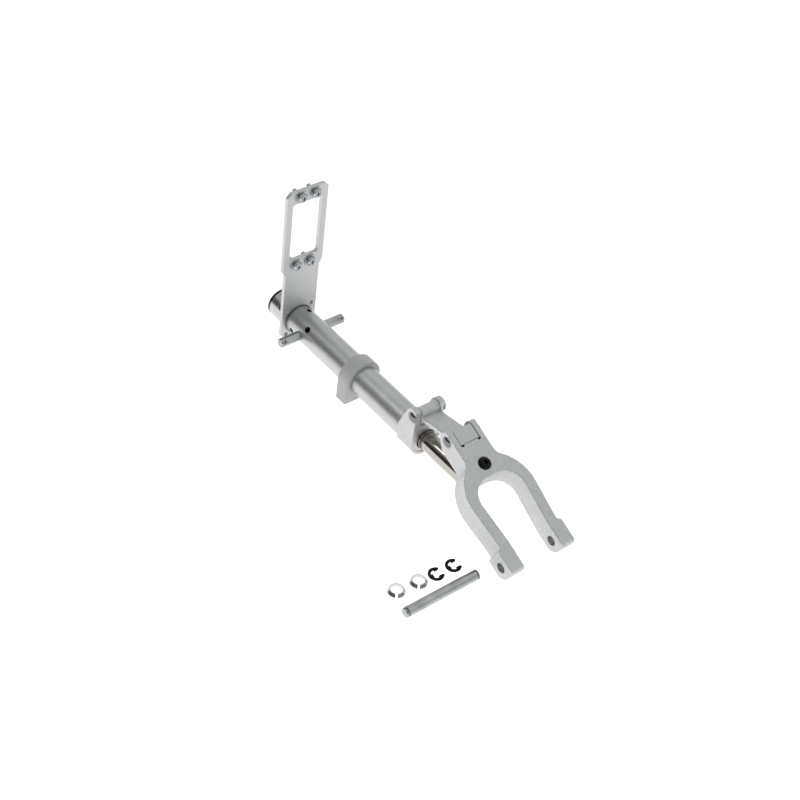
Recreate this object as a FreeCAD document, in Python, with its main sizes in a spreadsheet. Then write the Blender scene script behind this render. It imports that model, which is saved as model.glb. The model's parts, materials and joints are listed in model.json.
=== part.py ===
import FreeCAD, Part
import math
import os

import Sketcher
from FreeCAD import Placement, Rotation, Vector

# Landing gear strut of a large flying scale model, in millimetres.
# The leg tube lies along X with its trunnion pins along Y through the origin, the wheel fork
# at +X, and the servo plate standing up along +Z. The strut lies on the ground as it is sold:
# the saddle collar's flat, the fork's ends and the loose wheel hardware touch one plane.

SIZES = {
    # clearances and edge breaks
    "edge_break": 0.35, "seat_gap": 0.02, "running_gap": 0.05, "end_gap": 0.3,
    # leg tube
    "tube_radius": 9.5, "tube_wall": 1.0, "tube_back": -17.2, "tube_front": 98.4, "tube_chamfer": 0.4,
    # servo plate and what is on it
    "plate_face": -13.6, "plate_thickness": 2.5, "head_half_width": 14.7, "head_margin": 4.25,
    "head_chamfer": 3.0, "shoulder_margin": 2.25, "shoulder_rise": 3.5, "neck_half_width": 12.6,
    "plate_bottom": -10.8, "foot_chamfer": 2.0, "window_centre": 68.0, "window_width": 20.6,
    "window_height": 40.6, "window_corner": 1.5, "servo_hole_pitch": 49.5, "servo_hole_gauge": 10.0,
    "servo_screw_radius": 1.48, "servo_screw_length": 8.0, "servo_head_radius": 3.0,
    "servo_head_height": 2.2, "servo_crown_radius": 2.1, "servo_head_edge": 0.77,
    "servo_slot_width": 0.66, "servo_slot_length": 3.3, "servo_slot_floor": 0.99,
    "washer_radius": 3.9, "washer_thickness": 0.8,
    "plate_hole_pitch": 17.5, "plate_hole_radius": 1.4,
    "ring_width": 0.7, "ring_depth": 0.3, "ring_radius": 10.0,
    # trunnion
    "pin_radius": 3.0, "pin_root_step": 0.2, "pin_reach": 23.4, "pin_flat_depth": 0.35,
    "pin_flat_end": 4.0,
    "pin_flat_tilt": 45.0, "pin_chamfer": 0.5, "pin_root_gap": 0.2, "dimple_radius": 0.8,
    "dimple_depth": 1.2, "dimple_inset": 2.2,
    "sleeve_front": 9.9, "sleeve_screw_x": -7.6, "sleeve_screw_angle": -20.0,
    "sleeve_screw_radius": 1.7, "lock_screw_x": 4.6, "lock_screw_angle": 45.7,
    "lock_screw_radius": 2.0, "screw_sink": 0.5, "socket_share": 0.55, "socket_depth_share": 0.8,
    # bushes and saddle
    "bush_length": 10.0, "rear_bush_x": 22.0, "saddle_back": 43.4, "saddle_width": 9.2,
    "saddle_half_width": 12.4, "saddle_screw_radius": 2.0,
    # steering group
    "cylinder_radius": 7.7, "cylinder_wall": 0.95, "spindle_radius": 4.0, "plug_length": 12.0,
    "thrust_washer_thickness": 1.0, "thrust_gap": 0.15, "flange_thickness": 1.0,
    "spindle_pin_radius": 1.25, "spindle_pin_x": 18.0,
    "collar_radius": 9.4, "collar_length": 13.4, "cap_thickness": 2.2, "cap_spigot_radius": 6.0,
    "cap_spigot_length": 1.5, "collar_hole_back": 4.3, "collar_hole_angle": 55.5,
    "collar_hole_radius": 1.6, "collar_hole_depth": 4.0, "collar_screw_angle": 180.0,
    "bracket_length": 13.3, "bracket_half_width": 10.5,
    "bracket_belly": 0.3, "ear_radius": 5.4, "cheek_back_angle": 157.0,
    "ear_gap_half_width": 6.9, "notch_floor": 12.5, "bracket_screw_radius": 1.5,
    "gland_flange_radius": 8.95, "gland_flange_thickness": 1.6, "gland_sink": 0.4,
    "wiper_radius": 6.6, "wiper_width": 1.0,
    # link and its pins
    "upper_pin_inset": 2.8, "upper_pin_z": 19.6, "link_pin_radius": 2.0, "pin_head_radius": 3.5,
    "pin_head_height": 1.5, "pin_tail": 1.9, "clip_thickness": 0.6, "clip_radius": 3.5,
    "clip_groove_depth": 0.5, "clip_ring_share": 0.62, "clip_mouth_share": 0.93,
    "clip_prong_share": 0.4, "link_half_width": 6.6, "barrel_radius": 4.2,
    "barrel_flare_radius": 5.2, "barrel_waist_half": 3.7, "link_top": 0.3, "link_bottom": 2.7,
    "open_pivot_gap": 0.6, "block_foot": 8.0,
    # fork
    "slot_end_x": 146.7, "slot_end_z": 26.5, "fork_tilt": 23.7, "fork_thickness": 14.0,
    "fork_pin_back": 6.4, "fork_pin_depth": 4.9, "fork_ear_radius": 5.8, "ear_under_angle": 228.0,
    "slot_half_width": 6.9, "slot_relief_radius": 1.2, "slot_relief_inset": 1.0,
    "neck_half_width_fork": 10.5, "neck_fillet": 6.0, "shoulder_centre": 33.6,
    "shoulder_radius": 26.0, "shoulder_reach": 22.5, "arm_taper": 4.6, "arm_outer_end": 58.6,
    "boss_start": 62.2, "boss_half_width": 23.0, "gap_apex": 22.1, "gap_apex_half": 3.7,
    "gap_corner": 12.0, "arm_inner_end": 59.0, "arm_nose_radius": 2.7, "axle_reach": 68.3,
    "axle_radius": 3.0,
    "fork_screw_reach": 14.4, "fork_screw_radius": 2.0, "fork_screw_head_radius": 3.8,
    "fork_screw_head_height": 2.2, "fork_screw_sink": 0.6, "fork_screw_crown_radius": 2.09,
    "fork_socket_radius": 1.44, "fork_socket_floor": 0.77,
    "block_length": 10.0, "block_half_width": 6.0, "block_height": 4.5, "block_recess": 2.0,
    "tongue_half_width": 2.45, "tongue_radius": 4.3,
    # piston
    "rod_radius": 6.0, "rod_end_offset": 1.3, "rod_slot_clearance": 0.2, "rod_pin_radius": 1.5,
    "head_front": 80.0, "head_length": 8.0, "stub_radius": 3.0, "circlip_thickness": 0.9,
    "circlip_radius": 4.4, "circlip_groove_depth": 0.5, "spring_wire_radius": 0.65,
    "spring_radius": 5.7, "spring_pitch": 5.2,
    # loose wheel hardware
    "loose_axle_x": 200.3, "loose_axle_y": -58.8, "axle_end_land": 0.8, "axle_groove_width": 0.8,
    "axle_groove_depth": 1.0, "axle_clip_radius": 4.65, "axle_clip_thickness": 0.7,
    "wheel_collar_radius": 5.1, "wheel_collar_top_radius": 3.95, "wheel_collar_height": 2.2,
    "wheel_collar_rim": 0.6, "wheel_collar_bore": 3.35, "wheel_collar_slit": 1.2,
    "wheel_collar_slit_angle": -38.0, "first_collar_x": 184.2, "first_collar_y": -76.3,
    "second_collar_x": 185.6, "second_collar_y": -62.3, "first_clip_x": 186.5,
    "first_clip_y": -50.8, "second_clip_x": 186.8, "second_clip_y": -39.0,
}

X_AXIS = Vector(1, 0, 0)
Y_AXIS = Vector(0, 1, 0)
Z_AXIS = Vector(0, 0, 1)
PLANE_NORMALS = {"XY_Plane": Z_AXIS, "XZ_Plane": Y_AXIS, "YZ_Plane": X_AXIS}

doc = FreeCAD.newDocument("LandingGearStrut")
sheet = doc.addObject("Spreadsheet::Sheet", "Sizes")


class Size:
    """A length or an angle: its number now, and the expression that ties it to the sheet."""

    def __init__(self, number, text):
        self.number = number
        self.text = text

    def __add__(self, other):
        other = as_size(other)
        return Size(self.number + other.number, "(" + self.text + " + " + other.text + ")")

    def __radd__(self, other):
        return as_size(other) + self

    def __sub__(self, other):
        other = as_size(other)
        return Size(self.number - other.number, "(" + self.text + " - " + other.text + ")")

    def __rsub__(self, other):
        return as_size(other) - self

    def __mul__(self, other):
        other = as_size(other)
        return Size(self.number * other.number, "(" + self.text + " * " + other.text + ")")

    def __rmul__(self, other):
        return as_size(other) * self

    def __truediv__(self, other):
        other = as_size(other)
        return Size(self.number / other.number, "(" + self.text + " / " + other.text + ")")

    def __neg__(self):
        return Size(-self.number, "(0 - " + self.text + ")")


def as_size(amount):
    return amount if isinstance(amount, Size) else Size(float(amount), "(" + repr(float(amount)) + ")")


def root(amount):
    return Size(math.sqrt(amount.number), "sqrt(" + amount.text + ")")


def cosine(angle):
    return Size(math.cos(math.radians(angle.number)), "cos(" + angle.text + ")")


def sine(angle):
    return Size(math.sin(math.radians(angle.number)), "sin(" + angle.text + ")")


def leg_of(hypotenuse, leg):
    """The other leg of a right triangle."""
    return root(hypotenuse * hypotenuse - leg * leg)


for row, (alias, number) in enumerate(SIZES.items(), start=1):
    sheet.set("A%d" % row, alias)
    sheet.set("B%d" % row, str(number))
    sheet.setAlias("B%d" % row, alias)
doc.recompute()


def size(alias):
    return Size(float(sheet.get(alias)), "Sizes." + alias)


def bind(item, prop, amount):
    amount = as_size(amount)
    item.setExpression(prop, amount.text)


def place(item, at=(0, 0, 0), turn_axis=None, turn=0):
    """Put an object at a point, turned about one axis through its own origin."""
    angle = as_size(turn)
    rotation = Rotation(turn_axis, angle.number) if turn_axis else Rotation()
    item.Placement = Placement(Vector(*[as_size(c).number for c in at]), rotation)
    for letter, coordinate in zip("xyz", at):
        bind(item, "Placement.Base." + letter, coordinate)
    if turn_axis and isinstance(turn, Size):
        item.setExpression("Placement.Rotation.Angle", "(" + angle.text + ") * 1 deg")
    return item


# ---------------------------------------------------------------- sketches and features

def fix_point(sketch, geometry, end, corner):
    for kind, axis, amount in (("DistanceX", -2, corner[0]), ("DistanceY", -1, corner[1])):
        if isinstance(amount, Size):
            index = sketch.addConstraint(
                Sketcher.Constraint(kind, -1, 1, geometry, end, amount.number))
            sketch.setExpression("Constraints[%d]" % index, amount.text)
        elif amount == 0:
            sketch.addConstraint(Sketcher.Constraint("PointOnObject", geometry, end, axis))
        else:
            sketch.addConstraint(Sketcher.Constraint(kind, -1, 1, geometry, end, float(amount)))


def draw_circle(sketch, centre, radius):
    middle = Vector(as_size(centre[0]).number, as_size(centre[1]).number, 0)
    geometry = sketch.addGeometry(Part.Circle(middle, Z_AXIS, radius.number))
    fix_point(sketch, geometry, 3, centre)
    index = sketch.addConstraint(Sketcher.Constraint("Radius", geometry, radius.number))
    sketch.setExpression("Constraints[%d]" % index, radius.text)


def draw_outline(sketch, corners):
    """A closed outline. A corner is (x, y), or (x, y, side, radius) where the edge that leaves
    it is an arc with its centre on the left or right hand."""
    points = [Vector(as_size(c[0]).number, as_size(c[1]).number, 0) for c in corners]
    ends = []
    for index, corner in enumerate(corners):
        start, finish = points[index], points[(index + 1) % len(points)]
        if len(corner) == 2:
            geometry = sketch.addGeometry(Part.LineSegment(start, finish))
            ends.append((geometry, 1, 2))
            continue
        side, radius = corner[2], as_size(corner[3])
        chord = finish - start
        height = math.sqrt(max(radius.number ** 2 - (chord.Length / 2) ** 2, 0.0))
        left = Vector(-chord.y, chord.x, 0).normalize()
        hand = 1 if side == "left" else -1
        centre = (start + finish) * 0.5 + left * (hand * height)
        first, last = (start, finish) if side == "left" else (finish, start)
        circle = Part.Circle(centre, Z_AXIS, radius.number)
        turn_from = math.atan2(first.y - centre.y, first.x - centre.x)
        turn_to = math.atan2(last.y - centre.y, last.x - centre.x)
        geometry = sketch.addGeometry(Part.ArcOfCircle(circle, turn_from, turn_to))
        ends.append((geometry, 1, 2) if side == "left" else (geometry, 2, 1))
        number = sketch.addConstraint(Sketcher.Constraint("Radius", geometry, radius.number))
        sketch.setExpression("Constraints[%d]" % number, radius.text)
    for index, (geometry, begin, end) in enumerate(ends):
        following, following_begin, unused_end = ends[(index + 1) % len(ends)]
        sketch.addConstraint(
            Sketcher.Constraint("Coincident", geometry, end, following, following_begin))
        fix_point(sketch, geometry, begin, corners[index])


def sketch_on(body, plane, outlines, circles=()):
    sketch = body.newObject("Sketcher::SketchObject", body.Name + "_sketch")
    origin_plane = [f for f in body.Origin.OriginFeatures if f.Role == plane][0]
    sketch.AttachmentSupport = [(origin_plane, "")]
    sketch.MapMode = "FlatFace"
    for corners in outlines:
        draw_outline(sketch, corners)
    for centre, radius in circles:
        draw_circle(sketch, centre, radius)
    return sketch


def end_face_edges(shape, normal):
    """The names of the edges round the outside of the faces that lie square to a direction."""
    outlines = [edge for face in shape.Faces if abs(face.normalAt(0, 0).dot(normal)) > 0.999
                for edge in face.OuterWire.Edges]
    return ["Edge%d" % number for number, edge in enumerate(shape.Edges, start=1)
            if any(edge.isSame(other) for other in outlines)]


def turned(name, corners, about="H_Axis"):
    """A body of revolution: corners are (x, radius) about X, or (radius, z) about Z."""
    body = doc.addObject("PartDesign::Body", name)
    sketch = sketch_on(body, "XZ_Plane", [corners])
    feature = body.newObject("PartDesign::Revolution", name + "_turn")
    feature.Profile = sketch
    feature.ReferenceAxis = (sketch, [about])
    feature.Angle = 360
    return body


def padded(name, plane, outlines, length, circles=(), both_sides=False, edge_break=None):
    """A body padded from a sketch along the plane's normal, or equally to both sides. With an
    edge break the outer edges of its two end faces are chamfered."""
    body = doc.addObject("PartDesign::Body", name)
    sketch = sketch_on(body, plane, outlines, circles)
    feature = body.newObject("PartDesign::Pad", name + "_pad")
    feature.Profile = sketch
    if both_sides:
        feature.SideType = "Symmetric"
    bind(feature, "Length", length)
    if edge_break is not None:
        doc.recompute()
        chamfer = body.newObject("PartDesign::Chamfer", name + "_edge_break")
        chamfer.Base = (feature, end_face_edges(feature.Shape, PLANE_NORMALS[plane]))
        bind(chamfer, "Size", edge_break)
    return body


def rod_of(name, radius, length, at=(0, 0, 0), turn_axis=None, turn=0):
    """A cylinder that starts at a point and runs along +Z, turned about one axis."""
    item = doc.addObject("Part::Cylinder", name)
    bind(item, "Radius", radius)
    bind(item, "Height", length)
    return place(item, at, turn_axis, turn)


def block_of(name, lengths, at=(0, 0, 0), turn_axis=None, turn=0):
    item = doc.addObject("Part::Box", name)
    for prop, amount in zip(("Length", "Width", "Height"), lengths):
        bind(item, prop, amount)
    return place(item, at, turn_axis, turn)


def cut(name, base, tools):
    """The base with every tool taken out of it."""
    tool = tools[0]
    if len(tools) > 1:
        tool = doc.addObject("Part::MultiFuse", name + "_tools")
        tool.Shapes = tools
    item = doc.addObject("Part::Cut", name)
    item.Base = base
    item.Tool = tool
    return item


def fused(name, pieces):
    item = doc.addObject("Part::MultiFuse", name)
    item.Shapes = pieces
    item.Refine = True
    return item


def common(name, pieces):
    item = doc.addObject("Part::MultiCommon", name)
    item.Shapes = pieces
    return item


def group(name, pieces):
    """Separate solids that share one node."""
    item = doc.addObject("Part::Compound", name)
    item.Links = pieces
    return item


nodes = []


def keep(item, label):
    item.Label = label
    nodes.append(item)
    return item


def mirrored_outline(lower):
    """A closed outline from its lower half: the upper half runs back with every arc's hand kept."""
    upper = []
    for index in range(len(lower) - 1, -1, -1):
        arc = lower[index - 1][2:] if index > 0 else ()
        upper.append((lower[index][0], -lower[index][1]) + tuple(arc))
    return lower + upper


def rounded_rectangle(y, z, width, height, corner):
    right, left = y + width / 2, y - width / 2
    top, bottom = z + height / 2, z - height / 2
    return [(left + corner, bottom), (right - corner, bottom, "left", corner),
            (right, bottom + corner), (right, top - corner, "left", corner),
            (right - corner, top), (left + corner, top, "left", corner),
            (left, top - corner), (left, bottom + corner, "left", corner)]


# ---------------------------------------------------------------- common sizes

seat_gap = size("seat_gap")
running_gap = size("running_gap")
end_gap = size("end_gap")
tube_radius = size("tube_radius")
tube_bore = tube_radius - size("tube_wall")
tube_back = size("tube_back")
tube_front = size("tube_front")
plate_face = size("plate_face")
cylinder_radius = size("cylinder_radius")
cylinder_bore = cylinder_radius - size("cylinder_wall")
spindle_radius = size("spindle_radius")
pin_radius = size("pin_radius")
rod_radius = size("rod_radius")
link_pin_radius = size("link_pin_radius")
bracket_back = tube_front + end_gap
bracket_front = bracket_back + size("bracket_length")
upper_pin_x = bracket_front - size("upper_pin_inset")
upper_pin_z = size("upper_pin_z")

# The fork's own frame has its origin at the middle of the slot's end on the top face,
# x along the arms, y across them and z out of the top face.
fork_tilt = size("fork_tilt")
tilt_cos = cosine(fork_tilt)
tilt_sin = sine(fork_tilt)
slot_end_x = size("slot_end_x")
slot_end_z = size("slot_end_z")
fork_thickness = size("fork_thickness")
fork_pin_x = -size("fork_pin_back")
fork_pin_z = -size("fork_pin_depth")
axle_reach = size("axle_reach")
axle_radius = size("axle_radius")
fork_screw_reach = size("fork_screw_reach")


def from_fork(along, up):
    """A point of the fork's middle plane, given in the fork's frame, in the strut's frame."""
    return (slot_end_x + along * tilt_cos + up * tilt_sin,
            slot_end_z - along * tilt_sin + up * tilt_cos)


lower_pin_x, lower_pin_z = from_fork(fork_pin_x, fork_pin_z)
axle_x, axle_z = from_fork(axle_reach, -fork_thickness / 2)
ground = axle_z - fork_thickness / 2

# Every drill reaches past the widest piece that it crosses.
drill_reach = size("boss_half_width") + end_gap

# The rod's end pin lies on the fork screw's axis and on the leg's axis.
rod_pin_drop = (fork_screw_reach * tilt_sin - slot_end_z) / tilt_cos
rod_pin_x = slot_end_x + fork_screw_reach * tilt_cos + rod_pin_drop * tilt_sin


def in_fork(item):
    """Stand an object that is built in the fork's frame in its place on the strut."""
    return place(item, (slot_end_x, 0, slot_end_z), Y_AXIS, fork_tilt)


# ---------------------------------------------------------------- small parts used more than once

def radial_hole(name, radius, x, angle, depth_from=0):
    """A drill outwards from the tube axis at x, turned by an angle from +Z towards -Y."""
    tool = rod_of(name + "_drill", radius, drill_reach, (0, 0, as_size(depth_from)))
    holder = group(name, [tool])
    return place(holder, (x, 0, 0), X_AXIS, angle)


def set_screw(name, radius, bottom, top, x, angle):
    """A socket set screw across the tube axis, from one distance off the axis to another."""
    shank = rod_of(name + "_shank", radius, top - bottom, (0, 0, bottom))
    socket = doc.addObject("Part::Prism", name + "_socket")
    socket.Polygon = 6
    bind(socket, "Circumradius", radius * size("socket_share"))
    bind(socket, "Height", radius)
    place(socket, (0, 0, top - radius * size("socket_depth_share")))
    screw = cut(name, shank, [socket])
    return place(screw, (x, 0, 0), X_AXIS, angle)


def e_clip(name, groove_radius, outer_radius, thickness):
    """An E-clip in the XY plane with its mouth towards +Y: an open ring with round horns and
    three prongs."""
    ring_inner = outer_radius * size("clip_ring_share")
    mouth = groove_radius * size("clip_mouth_share")
    prong = outer_radius * size("clip_prong_share")
    horn = (outer_radius - ring_inner) / 2
    horn_x = mouth + horn
    horn_y = leg_of(ring_inner + horn, horn_x)
    ring = cut(name + "_ring", rod_of(name + "_disc", outer_radius, thickness), [
        rod_of(name + "_hole", ring_inner, thickness),
        block_of(name + "_opening", (horn_x * 2, outer_radius, thickness), (-horn_x, horn_y, 0))])
    horns = [rod_of("%s_horn_%d" % (name, side), horn, thickness, (horn_x * way, horn_y, 0))
             for side, way in enumerate((-1, 1))]
    prongs = []
    for side, turn in enumerate((90, 210, 330)):
        bar = block_of("%s_prong_%d" % (name, side), (prong, ring_inner + horn, thickness),
                       (-prong / 2, 0, 0))
        holder = group("%s_prong_turned_%d" % (name, side), [bar])
        prongs.append(place(holder, (0, 0, 0), Z_AXIS, turn + 90))
    body = fused(name + "_body", [ring] + horns + prongs)
    return cut(name, body, [
        rod_of(name + "_groove", groove_radius + seat_gap, thickness),
        block_of(name + "_mouth", (mouth * 2, outer_radius, thickness), (-mouth, 0, 0))])


def domed_pin(name, half_width):
    """A link pin along X, head first: a domed head, the shank, and a grooved tail."""
    head_radius = size("pin_head_radius")
    head_height = size("pin_head_height")
    dome = (head_radius * head_radius + head_height * head_height) / (head_height * 2)
    groove = link_pin_radius - size("clip_groove_depth")
    groove_start = half_width + seat_gap
    groove_end = groove_start + size("clip_thickness") + seat_gap * 2
    tail = half_width + size("pin_tail")
    return turned(name, [
        (-half_width - head_height, 0), (tail, 0), (tail, link_pin_radius),
        (groove_end, link_pin_radius), (groove_end, groove), (groove_start, groove),
        (groove_start, link_pin_radius), (-half_width, link_pin_radius),
        (-half_width, head_radius, "left", dome)])


# ---------------------------------------------------------------- leg: tube, trunnion and bushes

sleeve_screw_x = size("sleeve_screw_x")
sleeve_screw_angle = size("sleeve_screw_angle")
sleeve_screw_radius = size("sleeve_screw_radius")
sleeve_screw_angles = [sleeve_screw_angle, sleeve_screw_angle + 120, sleeve_screw_angle + 240]
lock_screw_x = size("lock_screw_x")
lock_screw_angle = size("lock_screw_angle")
lock_screw_radius = size("lock_screw_radius")
screw_sink = size("screw_sink")
ring_width = size("ring_width")
ring_back = plate_face + seat_gap
ring_seat = tube_radius - size("ring_depth")
pin_reach = size("pin_reach")
pin_root = pin_radius - size("pin_root_step")


def across_hole(name, radius, x, z=0):
    """A drill right across the strut along Y."""
    return rod_of(name, radius, drill_reach * 2, (x, drill_reach, z), X_AXIS, 90)


def tube_drills(name):
    """The drills that the tube and the sleeve inside it share."""
    drills = [across_hole(name + "_pins", pin_root + seat_gap, 0)]
    for index, angle in enumerate(sleeve_screw_angles):
        drills.append(radial_hole("%s_set_%d" % (name, index), sleeve_screw_radius + seat_gap,
                                  sleeve_screw_x, angle))
    drills.append(radial_hole(name + "_lock", lock_screw_radius + seat_gap,
                              lock_screw_x, lock_screw_angle))
    return drills


def outer_tube():
    chamfer = size("tube_chamfer")
    profile = turned("tube_blank", [
        (tube_back, tube_bore), (tube_front, tube_bore), (tube_front, tube_radius - chamfer),
        (tube_front - chamfer, tube_radius), (ring_back + ring_width + seat_gap, tube_radius),
        (ring_back + ring_width + seat_gap, ring_seat), (ring_back - seat_gap, ring_seat),
        (ring_back - seat_gap, tube_radius), (tube_back + chamfer, tube_radius),
        (tube_back, tube_radius - chamfer)])
    return cut("tube", profile, tube_drills("tube"))


def trunnion_sleeve():
    outer = tube_bore - seat_gap
    inner = spindle_radius + running_gap
    blank = turned("sleeve_blank", [
        (tube_back, inner), (size("sleeve_front"), inner), (size("sleeve_front"), outer),
        (tube_back, outer)])
    return cut("sleeve", blank, tube_drills("sleeve"))


def trunnion_pins():
    """Two pins along Y: a root in the sleeve, a shoulder at the tube, and outside it a long flat
    that stops short of the pin's end, where there is a dimple."""
    start = spindle_radius + size("pin_root_gap")
    shoulder = tube_radius + seat_gap
    chamfer = size("pin_chamfer")
    flat_depth = size("pin_flat_depth")
    flat_length = pin_reach - size("pin_flat_end") - shoulder
    pins = []
    for index, side in enumerate((-1, 1)):
        blank = turned("pin_blank_%d" % index, [
            (start, 0), (pin_reach, 0), (pin_reach, pin_radius - chamfer),
            (pin_reach - chamfer, pin_radius), (shoulder, pin_radius), (shoulder, pin_root),
            (start, pin_root)])
        flat = block_of("pin_flat_%d" % index, (flat_length, pin_radius * 2, pin_radius),
                        (shoulder, -pin_radius, pin_radius - flat_depth))
        dimple = rod_of("pin_dimple_%d" % index, size("dimple_radius"), pin_radius,
                        (pin_reach - size("dimple_inset"), 0, pin_radius - size("dimple_depth")))
        straight = cut("pin_straight_%d" % index, blank, [flat, dimple])
        tilted = group("pin_tilted_%d" % index, [straight])
        place(tilted, (0, 0, 0), X_AXIS, size("pin_flat_tilt") * side)
        pin = group("pin_%d" % index, [tilted])
        pins.append(place(pin, (0, 0, 0), Z_AXIS, 90 * side))
    return group("pins", pins)


def bush(name, back):
    front = back + size("bush_length")
    return turned(name, [
        (back, cylinder_radius + running_gap), (front, cylinder_radius + running_gap),
        (front, tube_bore - seat_gap), (back, tube_bore - seat_gap)])


saddle_back = size("saddle_back")
saddle_width = size("saddle_width")
saddle_middle = saddle_back + saddle_width / 2
saddle_screw_radius = size("saddle_screw_radius")


def saddle_collar():
    """A D-shaped collar: round over the tube, straight sides, and a flat to rest on."""
    half = size("saddle_half_width")
    blank = padded("saddle_blank", "YZ_Plane",
                   [[(half, 0, "left", half), (0, half, "left", half), (-half, 0), (-half, ground),
                     (half, ground)]],
                   saddle_width, circles=[((0, 0), tube_radius + seat_gap)],
                   edge_break=size("edge_break"))
    place(blank, (saddle_back, 0, 0))
    return cut("saddle", blank, [
        radial_hole("saddle_drill", saddle_screw_radius + seat_gap, saddle_middle, 180)])


keep(outer_tube(), "outer_tube")
keep(trunnion_sleeve(), "trunnion_sleeve")
keep(trunnion_pins(), "trunnion_pins")
keep(group("sleeve_screws", [
    set_screw("sleeve_screw_%d" % index, sleeve_screw_radius, spindle_radius + end_gap,
              tube_radius - screw_sink, sleeve_screw_x, angle)
    for index, angle in enumerate(sleeve_screw_angles)]), "sleeve_set_screws")
keep(set_screw("lock_screw", lock_screw_radius, spindle_radius + end_gap,
               tube_radius - screw_sink, lock_screw_x, lock_screw_angle), "trunnion_lock_screw")
keep(bush("bush_at_back", size("rear_bush_x")), "rear_bush")
keep(bush("bush_at_front", tube_front - size("bush_length")), "front_bush")
keep(saddle_collar(), "saddle_collar")
keep(set_screw("saddle_screw", saddle_screw_radius, tube_radius + seat_gap,
               -ground - screw_sink, saddle_middle, as_size(180)), "saddle_set_screw")


# ---------------------------------------------------------------- servo plate and its fasteners

plate_thickness = size("plate_thickness")
plate_back = plate_face - plate_thickness
window_centre = size("window_centre")
washer_thickness = size("washer_thickness")
servo_screw_radius = size("servo_screw_radius")
servo_screw_places = [
    (size("servo_hole_gauge") / 2 * across, window_centre + size("servo_hole_pitch") / 2 * up)
    for up in (-1, 1) for across in (-1, 1)]
plate_hole_places = [
    (size("plate_hole_pitch") / 2 * across, size("plate_hole_pitch") / 2 * up)
    for up in (-1, 1) for across in (-1, 1)]


def servo_plate():
    head, neck = size("head_half_width"), size("neck_half_width")
    half_pitch = size("servo_hole_pitch") / 2
    top, foot = window_centre + half_pitch + size("head_margin"), size("plate_bottom")
    shoulder = window_centre - half_pitch - size("shoulder_margin")
    top_chamfer, foot_chamfer = size("head_chamfer"), size("foot_chamfer")
    right_side = [(neck - foot_chamfer, foot), (neck, foot + foot_chamfer),
                  (neck, shoulder - size("shoulder_rise")), (head, shoulder),
                  (head, top - top_chamfer), (head - top_chamfer, top)]
    left_side = [(-y, z) for y, z in reversed(right_side)]
    window = rounded_rectangle(as_size(0), window_centre, size("window_width"),
                               size("window_height"), size("window_corner"))
    holes = [(centre, servo_screw_radius + seat_gap) for centre in servo_screw_places]
    holes += [(centre, size("plate_hole_radius")) for centre in plate_hole_places]
    holes.append(((0, 0), tube_radius + seat_gap))
    plate = padded("plate", "YZ_Plane", [right_side + left_side, window], plate_thickness, holes,
                   edge_break=size("edge_break"))
    return place(plate, (plate_back, 0, 0))


def servo_screw(index, y, z):
    """A pan-head screw along X with a cross recess in its head."""
    head_radius = size("servo_head_radius")
    height = size("servo_head_height")
    crown = size("servo_crown_radius")
    edge = size("servo_head_edge")
    width, length, floor = size("servo_slot_width"), size("servo_slot_length"), size("servo_slot_floor")
    round_over = ((head_radius - crown) * (head_radius - crown)
                  + (height - edge) * (height - edge)) / ((head_radius - crown) * 2)
    blank = turned("servo_screw_blank_%d" % index, [
        (-size("servo_screw_length"), 0), (height, 0), (height, crown, "left", round_over),
        (edge, head_radius), (0, head_radius), (0, servo_screw_radius),
        (-size("servo_screw_length"), servo_screw_radius)])
    recess = [block_of("servo_recess_%d_%d" % (index, way), (height, across, up),
                       (floor, -across / 2, -up / 2))
              for way, (across, up) in enumerate(((width, length), (length, width)))]
    screw = cut("servo_screw_%d" % index, blank, recess)
    return place(screw, (plate_face + washer_thickness, y, z))


def servo_washer(index, y, z):
    washer = turned("servo_washer_%d" % index, [
        (0, servo_screw_radius + seat_gap), (washer_thickness, servo_screw_radius + seat_gap),
        (washer_thickness, size("washer_radius")), (0, size("washer_radius"))])
    return place(washer, (plate_face, y, z))


keep(servo_plate(), "servo_plate")
keep(group("screws", [servo_screw(index, y, z)
                      for index, (y, z) in enumerate(servo_screw_places)]), "servo_screws")
keep(group("washers", [servo_washer(index, y, z)
                       for index, (y, z) in enumerate(servo_screw_places)]), "servo_washers")
keep(turned("plate_ring", [
    (ring_back, ring_seat + seat_gap), (ring_back + ring_width, ring_seat + seat_gap),
    (ring_back + ring_width, size("ring_radius")), (ring_back, size("ring_radius"))]),
    "plate_retaining_ring")


# ---------------------------------------------------------------- steering group

thrust_back = size("sleeve_front") + size("thrust_gap")
thrust_front = thrust_back + size("thrust_washer_thickness")
flange_back = thrust_front + size("thrust_gap")
flange_front = flange_back + size("flange_thickness")
plug_front = flange_front + size("plug_length")
spindle_pin_x = size("spindle_pin_x")
spindle_pin_radius = size("spindle_pin_radius")
collar_front = tube_back - end_gap
collar_back = collar_front - size("collar_length")
collar_radius = size("collar_radius")
cap_spigot_radius = size("cap_spigot_radius")
cap_spigot_length = size("cap_spigot_length")
collar_hole_x = collar_front - size("collar_hole_back")
bracket_half_width = size("bracket_half_width")
bracket_round = bracket_half_width + size("bracket_belly")
gland_flange_radius = size("gland_flange_radius")
gland_front = bracket_front - size("gland_sink")
gland_seat = gland_front - size("gland_flange_thickness")
head_front = size("head_front")
gland_back = head_front + end_gap


def steering_spindle():
    blank = turned("spindle_blank", [
        (collar_back + cap_spigot_length + seat_gap, 0), (plug_front, 0),
        (plug_front, cylinder_bore - seat_gap), (flange_front, cylinder_bore - seat_gap),
        (flange_front, cylinder_radius), (flange_back, cylinder_radius),
        (flange_back, spindle_radius),
        (collar_back + cap_spigot_length + seat_gap, spindle_radius)])
    return cut("spindle", blank, [rod_of("spindle_pin_hole", spindle_pin_radius + seat_gap,
                                         cylinder_radius * 2, (spindle_pin_x, 0, -cylinder_radius))])


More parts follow.
